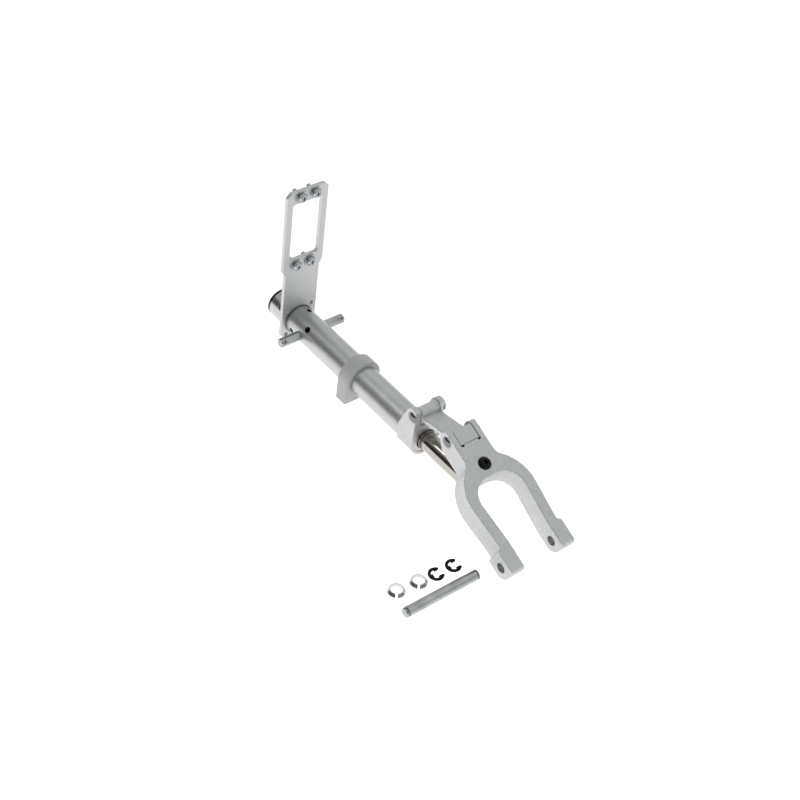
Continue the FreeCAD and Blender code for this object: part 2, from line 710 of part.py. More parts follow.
def inner_cylinder():
    blank = turned("cylinder_blank", [
        (flange_front + seat_gap, cylinder_bore), (gland_seat, cylinder_bore),
        (gland_seat, cylinder_radius), (flange_front + seat_gap, cylinder_radius)])
    return cut("cylinder", blank, [rod_of("cylinder_pin_hole", spindle_pin_radius + seat_gap,
                                          cylinder_radius * 2, (spindle_pin_x, 0, -cylinder_radius))])


def steering_collar():
    blank = turned("collar_blank", [
        (collar_back, cap_spigot_radius + seat_gap),
        (collar_back + cap_spigot_length, cap_spigot_radius + seat_gap),
        (collar_back + cap_spigot_length, spindle_radius + seat_gap),
        (collar_front, spindle_radius + seat_gap), (collar_front, collar_radius),
        (collar_back, collar_radius)])
    return cut("collar", blank, [
        radial_hole("collar_link_hole", size("collar_hole_radius"), collar_hole_x,
                    size("collar_hole_angle"), collar_radius - size("collar_hole_depth")),
        radial_hole("collar_screw_hole", sleeve_screw_radius + seat_gap, collar_hole_x,
                    size("collar_screw_angle"))])


def collar_cap():
    cap_back = collar_back - size("cap_thickness")
    chamfer = size("tube_chamfer")
    return turned("cap", [
        (cap_back, 0), (collar_back + cap_spigot_length - seat_gap, 0),
        (collar_back + cap_spigot_length - seat_gap, cap_spigot_radius),
        (collar_back, cap_spigot_radius), (collar_back, collar_radius),
        (cap_back + chamfer, collar_radius), (cap_back, collar_radius - chamfer)])


def link_bracket():
    """Flat cheeks that end in ears for the link pin, round underneath, bored for the cylinder."""
    side_foot = leg_of(bracket_round, bracket_half_width)
    ear_radius = size("ear_radius")
    back_angle = size("cheek_back_angle")
    ear_top = upper_pin_z + ear_radius * 2
    front_view = padded("bracket_front_view", "YZ_Plane", [[
        (-bracket_half_width, -side_foot, "left", bracket_round),
        (0, -bracket_round, "left", bracket_round),
        (bracket_half_width, -side_foot), (bracket_half_width, ear_top),
        (-bracket_half_width, ear_top)]], size("bracket_length"))
    place(front_view, (bracket_back, 0, 0))
    back_x = upper_pin_x + ear_radius * cosine(back_angle)
    back_z = upper_pin_z + ear_radius * sine(back_angle)
    slope_foot = back_z + (back_x - bracket_back) * cosine(back_angle) / sine(back_angle)
    front_z = upper_pin_z + leg_of(ear_radius, bracket_front - upper_pin_x)
    side_view = padded("bracket_side_view", "XZ_Plane", [[
        (bracket_back, -bracket_round * 2), (bracket_front, -bracket_round * 2),
        (bracket_front, front_z, "left", ear_radius), (back_x, back_z),
        (bracket_back, slope_foot)]], bracket_half_width * 2, both_sides=True)
    blank = common("bracket_blank", [front_view, side_view])
    gap_half = size("ear_gap_half_width")
    notch_floor = size("notch_floor")
    return cut("bracket", blank, [
        block_of("bracket_notch", (size("bracket_length"), gap_half * 2, ear_top - notch_floor),
                 (bracket_back, -gap_half, notch_floor)),
        across_hole("bracket_pin_hole", link_pin_radius + seat_gap, upper_pin_x, upper_pin_z),
        rod_of("bracket_bore", cylinder_radius + seat_gap, size("bracket_length"),
               (bracket_back, 0, 0), Y_AXIS, 90),
        rod_of("bracket_gland_seat", gland_flange_radius + seat_gap, bracket_front - gland_seat,
               (gland_seat, 0, 0), Y_AXIS, 90),
        radial_hole("bracket_screw_hole", size("bracket_screw_radius") + seat_gap,
                    bracket_back + size("bracket_length") / 2, 180)])


def rod_gland():
    """The gland bush that the rod slides in, with a groove in its face for the wiper."""
    wiper_seat = size("wiper_radius") + seat_gap
    bore = rod_radius + running_gap
    return turned("gland", [
        (gland_back, bore), (gland_front - size("wiper_width"), bore),
        (gland_front - size("wiper_width"), wiper_seat), (gland_front, wiper_seat),
        (gland_front, gland_flange_radius), (gland_seat + seat_gap, gland_flange_radius),
        (gland_seat + seat_gap, cylinder_bore - seat_gap), (gland_back, cylinder_bore - seat_gap)])


keep(steering_spindle(), "steering_spindle")
keep(inner_cylinder(), "inner_cylinder")
keep(rod_of("spindle_cross_pin", spindle_pin_radius, cylinder_radius * 2 - end_gap,
            (spindle_pin_x, 0, end_gap / 2 - cylinder_radius)), "spindle_pin")
keep(turned("thrust_ring", [
    (thrust_back, spindle_radius + running_gap), (thrust_front, spindle_radius + running_gap),
    (thrust_front, cylinder_radius), (thrust_back, cylinder_radius)]), "thrust_washer")
keep(steering_collar(), "steering_collar")
keep(collar_cap(), "collar_cap")
keep(set_screw("collar_screw", sleeve_screw_radius, spindle_radius + seat_gap,
               collar_radius - screw_sink, collar_hole_x, size("collar_screw_angle")),
     "collar_set_screw")
keep(link_bracket(), "link_bracket")
keep(set_screw("bracket_screw", size("bracket_screw_radius"), cylinder_radius + seat_gap,
               bracket_round - screw_sink, bracket_back + size("bracket_length") / 2,
               as_size(180)), "bracket_set_screw")
keep(rod_gland(), "rod_gland")
keep(turned("wiper", [
    (gland_front - size("wiper_width") + seat_gap, rod_radius + running_gap),
    (gland_front - seat_gap, rod_radius + running_gap),
    (gland_front - seat_gap, size("wiper_radius")),
    (gland_front - size("wiper_width") + seat_gap, size("wiper_radius"))]), "rod_wiper")


def placed_pin(name, half_width, x, z):
    return place(domed_pin(name, half_width), (x, 0, z), Z_AXIS, 90)


def placed_clip(name, half_width, x, z):
    """The clip in a link pin's groove, on the far side, with its mouth up."""
    groove_radius = link_pin_radius - size("clip_groove_depth")
    clip = e_clip(name + "_flat", groove_radius, size("clip_radius"), size("clip_thickness"))
    holder = group(name, [clip])
    clip_back = half_width + seat_gap * 2
    return place(holder, (x, clip_back + size("clip_thickness"), z), X_AXIS, 90)


keep(placed_pin("upper_pin", bracket_half_width, upper_pin_x, upper_pin_z), "upper_link_pin")
keep(placed_clip("upper_clip", bracket_half_width, upper_pin_x, upper_pin_z), "upper_pin_clip")


# ---------------------------------------------------------------- piston group

rod_end_centre = rod_pin_x - size("rod_end_offset")
head_length = size("head_length")
head_back = head_front - head_length
stub_radius = size("stub_radius")
circlip_thickness = size("circlip_thickness")
circlip_seat = stub_radius - size("circlip_groove_depth")
circlip_back = head_back - seat_gap - circlip_thickness
stub_back = circlip_back - circlip_thickness
tongue_half_width = size("tongue_half_width")
tongue_radius = size("tongue_radius")
rod_pin_radius = size("rod_pin_radius")


def piston_rod():
    """The rod: a stub for the piston head at the back, a round slotted eye at the front."""
    shaft = turned("rod_shaft", [
        (stub_back, 0), (rod_end_centre, 0), (rod_end_centre, rod_radius), (head_front, rod_radius),
        (head_front, stub_radius), (head_back - seat_gap, stub_radius),
        (head_back - seat_gap, circlip_seat), (circlip_back - seat_gap, circlip_seat),
        (circlip_back - seat_gap, stub_radius), (stub_back, stub_radius)])
    rod_end = common("rod_end", [
        rod_of("rod_end_round", rod_radius, rod_radius * 2, (rod_end_centre, rod_radius, 0),
               X_AXIS, 90),
        rod_of("rod_end_shaft", rod_radius, rod_radius, (rod_end_centre, 0, 0), Y_AXIS, 90)])
    slot_half = tongue_half_width + running_gap
    slot_back = rod_pin_x - tongue_radius - size("rod_slot_clearance")
    blank = fused("rod_blank", [shaft, rod_end])
    return cut("rod", blank, [
        block_of("rod_slot", (rod_radius * 3, slot_half * 2, rod_radius * 2),
                 (slot_back, -slot_half, -rod_radius)),
        across_hole("rod_pin_hole", rod_pin_radius + seat_gap, rod_pin_x)])


def return_spring():
    """The compression spring between the spindle's plug and the piston head."""
    wire = size("spring_wire_radius")
    start = plug_front + wire + end_gap
    length = head_back - wire - end_gap - start
    helix = doc.addObject("Part::Helix", "spring_helix")
    bind(helix, "Radius", size("spring_radius"))
    bind(helix, "Pitch", size("spring_pitch"))
    bind(helix, "Height", length)
    section = doc.addObject("Part::Circle", "spring_section")
    bind(section, "Radius", wire)
    place(section, (size("spring_radius"), 0, 0), X_AXIS, 90)
    coil = doc.addObject("Part::Sweep", "spring_coil")
    coil.Sections = [section]
    coil.Spine = (helix, ["Edge1"])
    coil.Solid = True
    coil.Frenet = True
    holder = group("spring", [coil])
    return place(holder, (start, 0, 0), Y_AXIS, 90)


keep(piston_rod(), "piston_rod")
keep(turned("head", [
    (head_back, stub_radius + seat_gap), (head_front, stub_radius + seat_gap),
    (head_front, cylinder_bore - running_gap), (head_back, cylinder_bore - running_gap)]),
    "piston_head")
keep(turned("head_circlip", [
    (circlip_back, circlip_seat + seat_gap), (circlip_back + circlip_thickness, circlip_seat + seat_gap),
    (circlip_back + circlip_thickness, size("circlip_radius")),
    (circlip_back, size("circlip_radius"))]), "piston_circlip")
keep(place(turned("rod_cross_pin", [
    (end_gap - rod_radius, 0), (rod_radius - end_gap, 0), (rod_radius - end_gap, rod_pin_radius),
    (end_gap - rod_radius, rod_pin_radius)]), (rod_pin_x, 0, 0), Z_AXIS, 90), "rod_pivot_pin")
keep(return_spring(), "return_spring")


# ---------------------------------------------------------------- link

def link_arm():
    """A waisted barrel on the upper pin, a flat arm, and a block that fills the fork's slot."""
    half = size("link_half_width")
    waist = size("barrel_radius")
    flare = size("barrel_flare_radius")
    waist_half = size("barrel_waist_half")
    run = half - waist_half
    rise = flare - waist
    scoop = (run * run + rise * rise) / (rise * 2)
    barrel = turned("link_barrel", [
        (-half, 0), (half, 0), (half, flare, "right", scoop), (waist_half, waist),
        (-waist_half, waist, "right", scoop), (-half, flare)])
    place(barrel, (upper_pin_x, 0, upper_pin_z), Z_AXIS, 90)
    span_x, span_z = lower_pin_x - upper_pin_x, lower_pin_z - upper_pin_z
    span = root(span_x * span_x + span_z * span_z)
    ahead_x, ahead_z = span_x / span, span_z / span
    top, bottom = size("link_top"), size("link_bottom")
    eye_radius = size("fork_pin_back") - end_gap
    foot = size("block_foot")
    crease_back = fork_pin_x - leg_of(size("fork_ear_radius"), fork_pin_z)
    crease_x, crease_z = from_fork(crease_back, as_size(0))
    foot_x = lower_pin_x - ahead_x * foot - ahead_z * top
    foot_z = lower_pin_z - ahead_z * foot + ahead_x * top
    scoop_x, scoop_z = crease_x - foot_x, crease_z - foot_z
    scoop_span = scoop_x * scoop_x + scoop_z * scoop_z
    block_scoop = scoop_span / ((scoop_z * ahead_x - scoop_x * ahead_z) * 2)
    under = leg_of(eye_radius, bottom)
    arm = padded("link_side_view", "XZ_Plane", [[
        (upper_pin_x - ahead_z * top, upper_pin_z + ahead_x * top),
        (foot_x, foot_z, "left", block_scoop), (crease_x, crease_z),
        from_fork(-end_gap, as_size(0)),
        from_fork(-end_gap, fork_pin_z) + ("right", eye_radius),
        from_fork(fork_pin_x, fork_pin_z - eye_radius) + ("right", eye_radius),
        (lower_pin_x - ahead_x * under + ahead_z * bottom,
         lower_pin_z - ahead_z * under - ahead_x * bottom),
        (upper_pin_x + ahead_z * bottom, upper_pin_z - ahead_x * bottom)]],
        half * 2, both_sides=True, edge_break=size("edge_break"))
    blank = fused("link_blank", [barrel, arm])
    return cut("link", blank, [
        across_hole("link_upper_bore", link_pin_radius + running_gap, upper_pin_x, upper_pin_z),
        across_hole("link_lower_bore", link_pin_radius + size("open_pivot_gap"),
                    lower_pin_x, lower_pin_z)])


keep(link_arm(), "link_arm")


# ---------------------------------------------------------------- fork

block_back = fork_screw_reach - size("block_length") / 2
block_top = size("block_recess") - fork_thickness
block_under = block_top - size("block_height")
neck_half = size("neck_half_width_fork")


def fork_plan():
    """The lower half of the fork's outline seen from above: the neck, a shoulder that swells
    out to the arm, the arm's taper, the axle boss, and back along the wheel gap."""
    fillet = size("neck_fillet")
    shoulder = size("shoulder_radius")
    centre_x = size("shoulder_centre")
    centre_y = shoulder - size("shoulder_reach")
    taper = size("arm_taper")
    reach = shoulder + fillet
    fillet_x = centre_x - leg_of(reach, neck_half + fillet + centre_y)
    join_x = centre_x - (centre_x - fillet_x) * shoulder / reach
    join_y = centre_y - (neck_half + fillet + centre_y) * shoulder / reach
    arm_x = centre_x + shoulder * sine(taper)
    arm_y = centre_y - shoulder * cosine(taper)
    slope = sine(taper) / cosine(taper)
    outer_x = size("arm_outer_end")
    outer_y = arm_y + (outer_x - arm_x) * slope
    boss_x, boss_y = size("boss_start"), -size("boss_half_width")
    step_x, step_y = boss_x - outer_x, outer_y - boss_y
    step_round = (step_x * step_x + step_y * step_y) / (step_y * 4)
    end = axle_reach + fork_thickness
    corner = size("gap_corner")
    apex, apex_half = size("gap_apex"), size("gap_apex_half")
    inner_x = apex + corner + corner * sine(taper)
    inner_y = -(apex_half + corner * cosine(taper))
    tip_x = size("arm_inner_end")
    tip_y = inner_y + (tip_x - inner_x) * slope
    back = fork_pin_x - fork_thickness
    return [(back, -neck_half), (fillet_x, -neck_half, "right", fillet),
            (join_x, join_y, "left", shoulder), (arm_x, arm_y), (outer_x, outer_y, "right", step_round),
            (outer_x + step_x / 2, outer_y - step_y / 2, "left", step_round), (boss_x, boss_y),
            (end, boss_y), (end, tip_y), (tip_x, tip_y), (inner_x, inner_y, "right", corner),
            (apex, -apex_half)]


def fork_side():
    """The fork from the side: an ear round the link pin, and arm ends that are round about the
    axle underneath, with a flat end and a tighter nose above."""
    ear = size("fork_ear_radius")
    under_angle = size("ear_under_angle")
    half = fork_thickness / 2
    end = axle_reach + half
    nose = size("arm_nose_radius")
    top_back = fork_pin_x - leg_of(ear, fork_pin_z)
    leave_x = fork_pin_x + ear * cosine(under_angle)
    leave_z = fork_pin_z + ear * sine(under_angle)
    under_x = leave_x + (leave_z + fork_thickness) * sine(under_angle) / cosine(under_angle)
    return [(0, 0), (top_back, 0, "left", ear), (fork_pin_x - ear, fork_pin_z, "left", ear),
            (leave_x, leave_z), (under_x, -fork_thickness), (axle_reach, -fork_thickness, "left", half),
            (end, -half), (end, -nose, "left", nose), (end - nose, 0)]


def wheel_fork():
    plan = padded("fork_plan", "XY_Plane", [mirrored_outline(fork_plan())], fork_thickness,
                  edge_break=size("edge_break"))
    place(plan, (0, 0, -fork_thickness))
    side = padded("fork_side", "XZ_Plane", [fork_side()], drill_reach * 2, both_sides=True)
    blank = common("fork_blank", [plan, side])
    slot_half = size("slot_half_width")
    relief = size("slot_relief_radius")
    inset = size("slot_relief_inset")
    recess_half = size("block_half_width")
    tools = [
        block_of("fork_slot", (drill_reach, slot_half * 2, fork_thickness * 2),
                 (-drill_reach, -slot_half, -fork_thickness * 1.5)),
        across_hole("fork_pin_hole", link_pin_radius + seat_gap, fork_pin_x, fork_pin_z),
        across_hole("fork_axle_hole", axle_radius + running_gap, axle_reach, -fork_thickness / 2),
        rod_of("fork_screw_hole", size("fork_screw_radius") + seat_gap, fork_thickness * 2,
               (fork_screw_reach, 0, -fork_thickness * 1.5)),
        rod_of("fork_head_seat", size("fork_screw_head_radius") + end_gap, fork_thickness,
               (fork_screw_reach, 0, -size("fork_screw_sink"))),
        block_of("fork_recess", (size("block_length"), recess_half * 2, fork_thickness),
                 (block_back, -recess_half, block_top - fork_thickness))]
    for side_sign in (-1, 1):
        tools.append(rod_of("fork_relief_%d" % (side_sign + 1), relief, fork_thickness * 2,
                            (0, (slot_half - inset) * side_sign, -fork_thickness * 1.5)))
    return in_fork(cut("fork", blank, tools))


def pivot_block():
    """The block under the fork, screwed up into its recess, with the tongue for the rod's eye."""
    base_half = size("block_half_width") - seat_gap
    base = block_of("block_base",
                    (size("block_length") - seat_gap * 2, base_half * 2, size("block_height") - seat_gap),
                    (block_back + seat_gap, -base_half, block_under))
    tongue_root = block_under + size("block_height") / 2
    tongue = padded("block_tongue", "XZ_Plane", [[
        (fork_screw_reach - tongue_radius, tongue_root),
        (fork_screw_reach - tongue_radius, rod_pin_drop, "left", tongue_radius),
        (fork_screw_reach, rod_pin_drop - tongue_radius, "left", tongue_radius),
        (fork_screw_reach + tongue_radius, rod_pin_drop),
        (fork_screw_reach + tongue_radius, tongue_root)]],
        tongue_half_width * 2, both_sides=True)
    blank = fused("block_blank", [base, tongue])
    screw_end = block_top - size("block_height") + seat_gap
    block = cut("block", blank, [
        rod_of("block_screw_hole", size("fork_screw_radius") + seat_gap, fork_thickness,
               (fork_screw_reach, 0, screw_end)),
        across_hole("block_pin_hole", rod_pin_radius + running_gap, fork_screw_reach, rod_pin_drop)])
    return in_fork(block)


def fork_screw():
    """A button-head socket screw down through the fork into the pivot block."""
    head = size("fork_screw_head_radius")
    height = size("fork_screw_head_height")
    seat = -size("fork_screw_sink")
    crown = size("fork_screw_crown_radius")
    dome = ((head - crown) * (head - crown) + height * height) / ((head - crown) * 2)
    foot = block_top - size("block_height") + end_gap
    blank = turned("fork_screw_blank", [
        (0, foot), (size("fork_screw_radius"), foot), (size("fork_screw_radius"), seat),
        (head, seat, "left", dome), (crown, seat + height), (0, seat + height)], about="V_Axis")
    socket = doc.addObject("Part::Prism", "fork_screw_socket")
    socket.Polygon = 6
    bind(socket, "Circumradius", size("fork_socket_radius"))
    bind(socket, "Height", height)
    place(socket, (0, 0, seat + size("fork_socket_floor")))
    screw = group("fork_screw_turned", [cut("fork_screw_upright", blank, [socket])])
    place(screw, (fork_screw_reach, 0, 0))
    return in_fork(group("fork_bolt", [screw]))


keep(wheel_fork(), "wheel_fork")
keep(pivot_block(), "pivot_block")
keep(fork_screw(), "fork_screw")
keep(placed_pin("lower_pin", neck_half, lower_pin_x, lower_pin_z), "lower_link_pin")
keep(placed_clip("lower_clip", neck_half, lower_pin_x, lower_pin_z), "lower_pin_clip")


# ---------------------------------------------------------------- loose wheel hardware

def wheel_axle():
    """The axle, long enough to show a clip groove past each side of the fork."""
    groove = axle_radius - size("axle_groove_depth")
    groove_start = size("boss_half_width") + end_gap
    groove_end = groove_start + size("axle_groove_width")
    tip = groove_end + size("axle_end_land")
    chamfer = size("tube_chamfer")
    profile = [(-tip, 0), (tip, 0), (tip, axle_radius - chamfer), (tip - chamfer, axle_radius),
               (groove_end, axle_radius), (groove_end, groove), (groove_start, groove),
               (groove_start, axle_radius), (-groove_start, axle_radius), (-groove_start, groove),
               (-groove_end, groove), (-groove_end, axle_radius), (chamfer - tip, axle_radius),
               (-tip, axle_radius - chamfer)]
    axle = turned("axle", profile)
    return place(axle, (size("loose_axle_x"), size("loose_axle_y"), ground + axle_radius), Z_AXIS, 90)


def wheel_collar(order):
    """A split collar, wide at its foot and tapering to its top."""
    foot, top = size("wheel_collar_radius"), size("wheel_collar_top_radius")
    bore = size("wheel_collar_bore")
    height = size("wheel_collar_height")
    blank = turned(order + "_collar_blank", [
        (bore, 0), (foot, 0), (foot, size("wheel_collar_rim")), (top, height), (bore, height)],
        about="V_Axis")
    slit = size("wheel_collar_slit")
    slitted = cut(order + "_collar_slitted", blank, [
        block_of(order + "_collar_slit", (foot * 2, slit, height), (0, -slit / 2, 0))])
    holder = group(order + "_collar", [slitted])
    return place(holder, (size(order + "_collar_x"), size(order + "_collar_y"), ground), Z_AXIS,
                 size("wheel_collar_slit_angle"))


def axle_clip(order):
    """A clip for the axle's groove, lying flat on the ground."""
    clip = e_clip(order + "_clip_flat", axle_radius - size("axle_groove_depth"),
                  size("axle_clip_radius"), size("axle_clip_thickness"))
    holder = group(order + "_clip", [clip])
    return place(holder, (size(order + "_clip_x"), size(order + "_clip_y"), ground))


keep(wheel_axle(), "wheel_axle")
keep(group("collars", [wheel_collar(order) for order in ("first", "second")]), "wheel_collars")
keep(group("clips", [axle_clip(order) for order in ("first", "second")]), "axle_clips")


# ---------------------------------------------------------------- check and write

doc.recompute()
failed = [item.Name for item in doc.Objects if "Invalid" in item.State or "Error" in item.State]
if failed:
    raise RuntimeError("not rebuilt: " + ", ".join(failed))
for node in nodes:
    if node.Shape.isNull() or not node.Shape.isValid() or not node.Shape.Solids:
        raise RuntimeError("bad shape: " + node.Label)

os.makedirs("parts", exist_ok=True)
for node in nodes:
    node.Shape.exportStep(os.path.join("parts", node.Label + ".step"))
    print("%-22s %d solid(s) %9.1f mm3" % (node.Label, len(node.Shape.Solids), node.Shape.Volume))
print("nodes", len(nodes), "ground", round(ground.number, 3), "axle", round(axle_x.number, 3),
      round(axle_z.number, 3), "rod pin", round(rod_pin_x.number, 3), "lower pin",
      round(lower_pin_x.number, 3), round(lower_pin_z.number, 3))
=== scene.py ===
# %% [markdown]
# # Landing gear strut: finishes, light and view
#
# The strut's shapes come from the imported CAD model, one mesh for each named piece, in metres.
# This notebook sets up the camera and the studio, gives every piece the finish that it has from
# the workshop, and makes the return spring anew, as a wound coil of its own. Every finish
# is procedural: its fine pattern is computed from the place on the piece.

# %% Load the strut
import json
import math

import bpy
from mathutils import Matrix, Vector


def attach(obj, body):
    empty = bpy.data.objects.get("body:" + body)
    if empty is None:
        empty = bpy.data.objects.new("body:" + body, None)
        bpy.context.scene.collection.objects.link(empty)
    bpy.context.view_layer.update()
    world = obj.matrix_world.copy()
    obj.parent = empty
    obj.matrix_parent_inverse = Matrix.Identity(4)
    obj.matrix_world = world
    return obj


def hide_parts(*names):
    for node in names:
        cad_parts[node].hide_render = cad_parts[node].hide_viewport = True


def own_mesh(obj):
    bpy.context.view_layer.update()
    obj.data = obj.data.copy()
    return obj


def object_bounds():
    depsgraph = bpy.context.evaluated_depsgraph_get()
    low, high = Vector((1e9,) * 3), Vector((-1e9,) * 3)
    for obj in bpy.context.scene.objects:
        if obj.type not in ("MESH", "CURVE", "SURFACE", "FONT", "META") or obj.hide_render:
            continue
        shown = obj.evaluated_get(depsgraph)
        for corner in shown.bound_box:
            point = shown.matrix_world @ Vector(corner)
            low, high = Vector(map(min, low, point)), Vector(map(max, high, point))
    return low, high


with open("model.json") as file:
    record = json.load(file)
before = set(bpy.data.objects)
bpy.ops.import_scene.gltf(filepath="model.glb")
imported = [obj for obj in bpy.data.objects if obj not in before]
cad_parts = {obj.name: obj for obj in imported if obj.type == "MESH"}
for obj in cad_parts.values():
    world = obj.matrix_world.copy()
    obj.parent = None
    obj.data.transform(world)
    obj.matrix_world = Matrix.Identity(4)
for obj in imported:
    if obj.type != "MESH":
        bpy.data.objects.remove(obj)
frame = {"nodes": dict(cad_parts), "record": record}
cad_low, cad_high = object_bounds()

MM = 0.001
nodes = frame["nodes"]
print("pieces:", len(nodes), "size in mm:", [round(side / MM, 1) for side in cad_high - cad_low])

# %% [markdown]
# ## The camera
#
# The strut is looked at from its wheel end, from above and from its right-hand side. A long lens
# keeps the plate's edges nearly parallel. A camera can be aimed with a Track To constraint, but
# this one isn't held quite level, so its three axes are written as vectors: one points back to
# the lens, and the other two are turned a little about it.

# %% Camera
SIDE_ANGLE = math.radians(43.5)
HEIGHT_ANGLE = math.radians(42.0)
ROLL = math.radians(8.0)
LENS_MM = 74.5
SENSOR_MM = 36.0
DISTANCE = 1.0072
AIM_RIGHT, AIM_UP = 0.0539, -0.0423    # how far the view's middle lies from the trunnion

back = Vector((math.cos(SIDE_ANGLE) * math.cos(HEIGHT_ANGLE),
               -math.sin(SIDE_ANGLE) * math.cos(HEIGHT_ANGLE),
               math.sin(HEIGHT_ANGLE)))
level_right = Vector((math.sin(SIDE_ANGLE), math.cos(SIDE_ANGLE), 0))
level_up = back.cross(level_right)
right = math.cos(ROLL) * level_right + math.sin(ROLL) * level_up
up = math.cos(ROLL) * level_up - math.sin(ROLL) * level_right

camera_data = bpy.data.cameras.new("camera")
camera_data.lens = LENS_MM
camera_data.sensor_width = SENSOR_MM
camera_data.clip_start, camera_data.clip_end = 0.05, 20.0
camera = bpy.data.objects.new("camera", camera_data)
bpy.context.scene.collection.objects.link(camera)
turn = Matrix((right, up, back)).transposed()
place = AIM_RIGHT * right + AIM_UP * up + DISTANCE * back
camera.matrix_world = Matrix.Translation(place) @ turn.to_4x4()
bpy.context.scene.camera = camera
bpy.context.scene.view_settings.view_transform = "Standard"
print("camera at", [round(c, 3) for c in camera.location])

# %% [markdown]
# ## Helpers for nodes
#
# The floor, the dome and every finish are node trees, and the same few steps return in all of
# them: a new material, a node with its values, and a value mapped from one range to another.
# A Mix node has a set of sockets for each kind of value, all with the same names, so the colour
# sockets are found by their numbers.

# %% Node helpers
COLOUR_A, COLOUR_B, COLOUR_OUT = 6, 7, 2


def new_material(name):
    """A material with an empty node tree but for its output and one Principled shader."""
    material = bpy.data.materials.new(name)
    material.use_nodes = True
    return material, material.node_tree, material.node_tree.nodes["Principled BSDF"]


def add_node(tree, kind, values=None, **settings):
    """A node with its settings and with the values of its sockets."""
    node = tree.nodes.new(kind)
    for name, value in settings.items():
        setattr(node, name, value)
    for socket, value in (values or {}).items():
        node.inputs[socket].default_value = value
    return node


def map_range(tree, source, start, end, low=0.0, high=1.0, curve="LINEAR"):
    """The source's range from start to end, mapped to low to high, each a number or a socket."""
    node = add_node(tree, "ShaderNodeMapRange", {"From Min": start, "From Max": end},
                    interpolation_type=curve)
    tree.links.new(source, node.inputs["Value"])
    for socket, bound in (("To Min", low), ("To Max", high)):
        if isinstance(bound, (int, float)):
            node.inputs[socket].default_value = bound
        else:
            tree.links.new(bound, node.inputs[socket])
    return node.outputs["Result"]


print("node helpers ready")

# %% [markdown]
# ## The studio
#
# Bare metal shows its surroundings, so the surroundings are part of its look. A white sheet lies
# under the strut, low enough for the fork's arms to swing down when the rod slides in. It glows a
# little, and more on the side that the upright faces mirror, so that those come out lighter than
# the tops. A grey dome stands over it, with a dark horizon on one side: that is the dark band
# along the tube and the rod.

# %% Floor
FLOOR_SIDE = 14.0
FLOOR_DROP = 24 * MM
SHEET_TONES = 0.45, 0.50
SHEET_PATCHES = 3.0
SHEET_ROUGHNESS = 0.9
NEAR_Y, FAR_Y = -25 * MM, 40 * MM
NEAR_GLOW, FAR_GLOW = 1.24, 0.90

bpy.ops.object.select_all(action="DESELECT")
bpy.ops.mesh.primitive_plane_add(size=FLOOR_SIDE, location=(0.1, 0, cad_low.z - FLOOR_DROP))
floor = bpy.context.object
floor.name = "floor"

white_sheet, tree, shader = new_material("white_sheet")
paper = add_node(tree, "ShaderNodeTexNoise", {"Scale": SHEET_PATCHES})
where = add_node(tree, "ShaderNodeTexCoord")
split = add_node(tree, "ShaderNodeSeparateXYZ")
tree.links.new(where.outputs["Object"], split.inputs["Vector"])
tone = map_range(tree, paper.outputs["Fac"], 0.0, 1.0, *SHEET_TONES)
glow = map_range(tree, split.outputs["Y"], NEAR_Y, FAR_Y, NEAR_GLOW, FAR_GLOW, "SMOOTHSTEP")
tree.links.new(tone, shader.inputs["Base Color"])
tree.links.new(glow, shader.inputs["Emission Strength"])
shader.inputs["Emission Color"].default_value = (1, 1, 1, 1)
shader.inputs["Roughness"].default_value = SHEET_ROUGHNESS
floor.data.materials.append(white_sheet)
print("floor at", round(floor.location.z / MM, 2), "mm")

# %% Dome
SKY_STOPS = {
    # share of the way towards +Y: brightness
    -0.7: 0.42, -0.1: 0.62, 0.45: 1.02, 1.0: 0.62,
}
SKY_TINT = (0.96, 1.0, 0.98)
HORIZON_DARK = 0.07
HORIZON_SIDE = -0.45, -0.60
HORIZON_TOP = 0.60, 0.48

world = bpy.data.worlds.new("dome")
bpy.context.scene.world = world
world.use_nodes = True
tree = world.node_tree
toward = add_node(tree, "ShaderNodeTexCoord")
split = add_node(tree, "ShaderNodeSeparateXYZ")
tree.links.new(toward.outputs["Generated"], split.inputs["Vector"])

ramp = add_node(tree, "ShaderNodeValToRGB")
stops = ramp.color_ramp.elements
while len(stops) < len(SKY_STOPS):
    stops.new(0.5)
for stop, (towards_y, brightness) in zip(stops, SKY_STOPS.items()):
    stop.position = (towards_y + 1) / 2
    stop.color = (*[brightness * channel for channel in SKY_TINT], 1)
tree.links.new(map_range(tree, split.outputs["Y"], -1.0, 1.0), ramp.inputs["Fac"])
print("dome:", len(SKY_STOPS), "stops")

# %% Dark horizon
mask = add_node(tree, "ShaderNodeMath", operation="MULTIPLY")
for number, (axis, bounds) in enumerate({"Y": HORIZON_SIDE, "Z": HORIZON_TOP}.items()):
    step = map_range(tree, split.outputs[axis], *bounds, curve="SMOOTHSTEP")
    tree.links.new(step, mask.inputs[number])
mix = add_node(tree, "ShaderNodeMix", data_type="RGBA")
mix.inputs[COLOUR_B].default_value = (HORIZON_DARK, HORIZON_DARK, HORIZON_DARK, 1)
tree.links.new(mask.outputs["Value"], mix.inputs["Factor"])
tree.links.new(ramp.outputs["Color"], mix.inputs[COLOUR_A])
tree.links.new(mix.outputs[COLOUR_OUT], tree.nodes["Background"].inputs["Color"])
print("horizon darkened to", HORIZON_DARK)

# %% [markdown]
# Four soft rectangular lights add what a dome can't. A long strip draws a faint line along the
# tube, and a short one close by draws the bright streak on the rod. A third is mirrored by the
# small chamfers along the upper edges, which come out as thin light lines, and a weak fourth
# lifts the tops.

